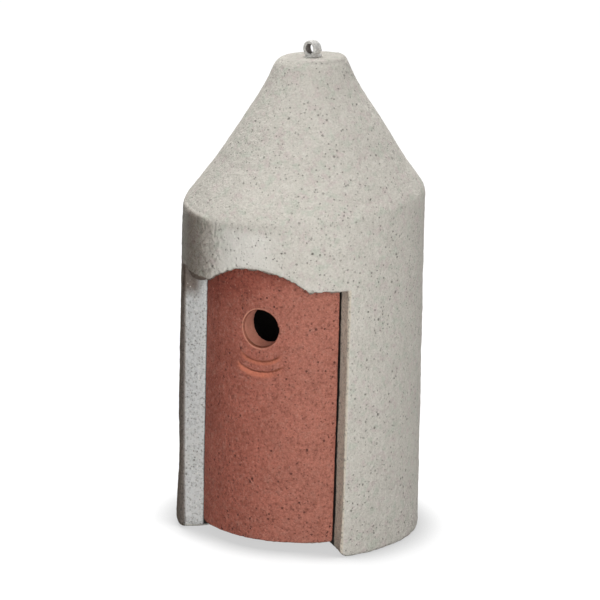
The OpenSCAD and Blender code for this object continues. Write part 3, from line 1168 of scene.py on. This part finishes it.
# The lamps: name, direction from the front to the right, height in degrees, and power.
LAMPS = [
    ("low", 29, 3, 4.4), ("key", 25, 20, 4.25), ("back", 150, 10, 3.4), ("top", -135, 65, 10.6),
]
LAMP_AWAY, LAMP_SIZE = 1.6, 0.7
MIDDLE = Vector((0.0, 0.0, 0.16))
GROUND_R = 6.0
WORLD_LIGHT = 0.04  # Strength of the world where the camera doesn't see it.
SHADOW_REACH, SHADOW_WHITE = 0.032, 0.58  # Reach of the floor's shadow, and its darkest grey.


def softbox(name, azimuth, elevation, power):
    """An area light that faces the middle of the object."""
    light = bpy.data.lights.new(name, "AREA")
    light.shape = "SQUARE"
    light.size = LAMP_SIZE
    light.energy = power * LAMP_AWAY * LAMP_AWAY
    made = linked(name, light)
    a, e = math.radians(azimuth), math.radians(elevation)
    away = Vector((math.sin(a) * math.cos(e), -math.cos(a) * math.cos(e), math.sin(e)))
    made.location = MIDDLE + away * LAMP_AWAY
    made.rotation_euler = away.to_track_quat("Z", "Y").to_euler()


class NESTBOX_OT_stage(bpy.types.Operator):
    """Set up the camera, the lights and the floor"""

    bl_idname = "nestbox.stage"
    bl_label = "Stage"

    def execute(self, context):
        scene = context.scene
        sizes = scene.nestbox_stage
        scene.view_settings.view_transform = "Standard"

        camera = bpy.data.cameras.new("camera")
        camera.sensor_width = 36.0
        camera.lens = sizes.lens
        camera.clip_end = 20.0
        eye = linked("camera", camera)
        a = sizes.azimuth
        eye.matrix_world = (
            Matrix.Translation((
                sizes.distance * math.sin(a), -sizes.distance * math.cos(a), sizes.height
            ))
            @ Matrix.Rotation(a + sizes.turn, 4, "Z")
            @ Matrix.Rotation(math.pi / 2 - sizes.pitch, 4, "X")
            @ Matrix.Rotation(sizes.roll, 4, "Z")
        )
        scene.camera = eye

        for lamp in LAMPS:
            softbox(*lamp)

        world = bpy.data.worlds.new("studio")
        scene.world = world
        world.use_nodes = True
        tree = world.node_tree
        background = tree.nodes["Background"]
        background.inputs["Color"].default_value = (1.0, 1.0, 1.0, 1.0)
        strength = WORLD_LIGHT + seen_rays(tree) * (1.0 - WORLD_LIGHT)
        put(tree, background.inputs["Strength"], strength)

        bm = bmesh.new()
        bmesh.ops.create_circle(bm, cap_ends=True, segments=64, radius=GROUND_R)
        ground = linked_mesh("ground", bm)
        ground.data.materials.append(paper_floor())
        return {"FINISHED"}


def seen_rays(tree):
    """1 for the rays that reach the camera straight, off gloss or through glass, and else 0."""
    base = Value(tree, None)
    path = base.node("ShaderNodeLightPath").outputs
    seen = base.maths("MAXIMUM", path["Is Camera Ray"], path["Is Glossy Ray"])
    return base.maths("MAXIMUM", seen, path["Is Transmission Ray"])


def paper_floor():
    """White paper with a soft contact shadow. It sends little light back."""
    material = bpy.data.materials.new("paper_floor")
    material.use_nodes = True
    tree = material.node_tree
    tree.nodes.clear()
    base = Value(tree, None)
    near = base.node("ShaderNodeAmbientOcclusion", {"samples": 12}, Distance=SHADOW_REACH)
    shade = Value(tree, near.outputs["AO"]).step(0.45, 1.0)
    white = shade * (1.0 - SHADOW_WHITE) + SHADOW_WHITE
    white = base.node("ShaderNodeCombineColor", None, (white, white, white)).outputs[0]
    paper = base.node("ShaderNodeBsdfDiffuse", Color=(0.3, 0.3, 0.3)).outputs[0]
    thin = base.node("ShaderNodeBsdfDiffuse", Color=(0.1, 0.1, 0.1)).outputs[0]
    glow = base.node("ShaderNodeEmission", Color=white, Strength=1.0).outputs[0]
    shown = base.node("ShaderNodeAddShader", None, (thin, glow)).outputs[0]
    both = base.node("ShaderNodeMixShader", None, (seen_rays(tree), paper, shown)).outputs[0]
    base.node("ShaderNodeOutputMaterial", Surface=both)
    return material


class NESTBOX_PT_sidebar(bpy.types.Panel):
    """Lists the pieces of the nest box"""

    bl_idname = "NESTBOX_PT_sidebar"
    bl_label = "Nest Box"
    bl_space_type = "VIEW_3D"
    bl_region_type = "UI"
    bl_category = "Nest Box"

    def draw(self, context):
        for operator in OPERATORS:
            self.layout.operator(operator.bl_idname)
        for name in SETTINGS:
            group = getattr(context.scene, name)
            box = self.layout.box()
            box.label(text=type(group).__doc__)
            for key in type(group).__annotations__:
                box.prop(group, key)


OPERATORS = [NESTBOX_OT_stage, NESTBOX_OT_casting, NESTBOX_OT_panel, NESTBOX_OT_eye]
SETTINGS = {
    "nestbox_casting": CastingSizes,
    "nestbox_panel": PanelSizes,
    "nestbox_eye": EyeSizes,
    "nestbox_stage": StageSizes,
}


def register():
    for group in SETTINGS.values():
        bpy.utils.register_class(group)
    for operator in OPERATORS:
        bpy.utils.register_class(operator)
    bpy.utils.register_class(NESTBOX_PT_sidebar)
    for name, group in SETTINGS.items():
        setattr(bpy.types.Scene, name, PointerProperty(type=group))


def unregister():
    for name in SETTINGS:
        delattr(bpy.types.Scene, name)
    bpy.utils.unregister_class(NESTBOX_PT_sidebar)
    for operator in reversed(OPERATORS):
        bpy.utils.unregister_class(operator)
    for group in reversed(SETTINGS.values()):
        bpy.utils.unregister_class(group)


def main():
    """Registers the classes and makes every piece."""
    register()
    bpy.ops.nestbox.stage()
    bpy.ops.nestbox.casting()
    bpy.ops.nestbox.panel()
    bpy.ops.nestbox.eye()


if __name__ == "__main__":
    main()
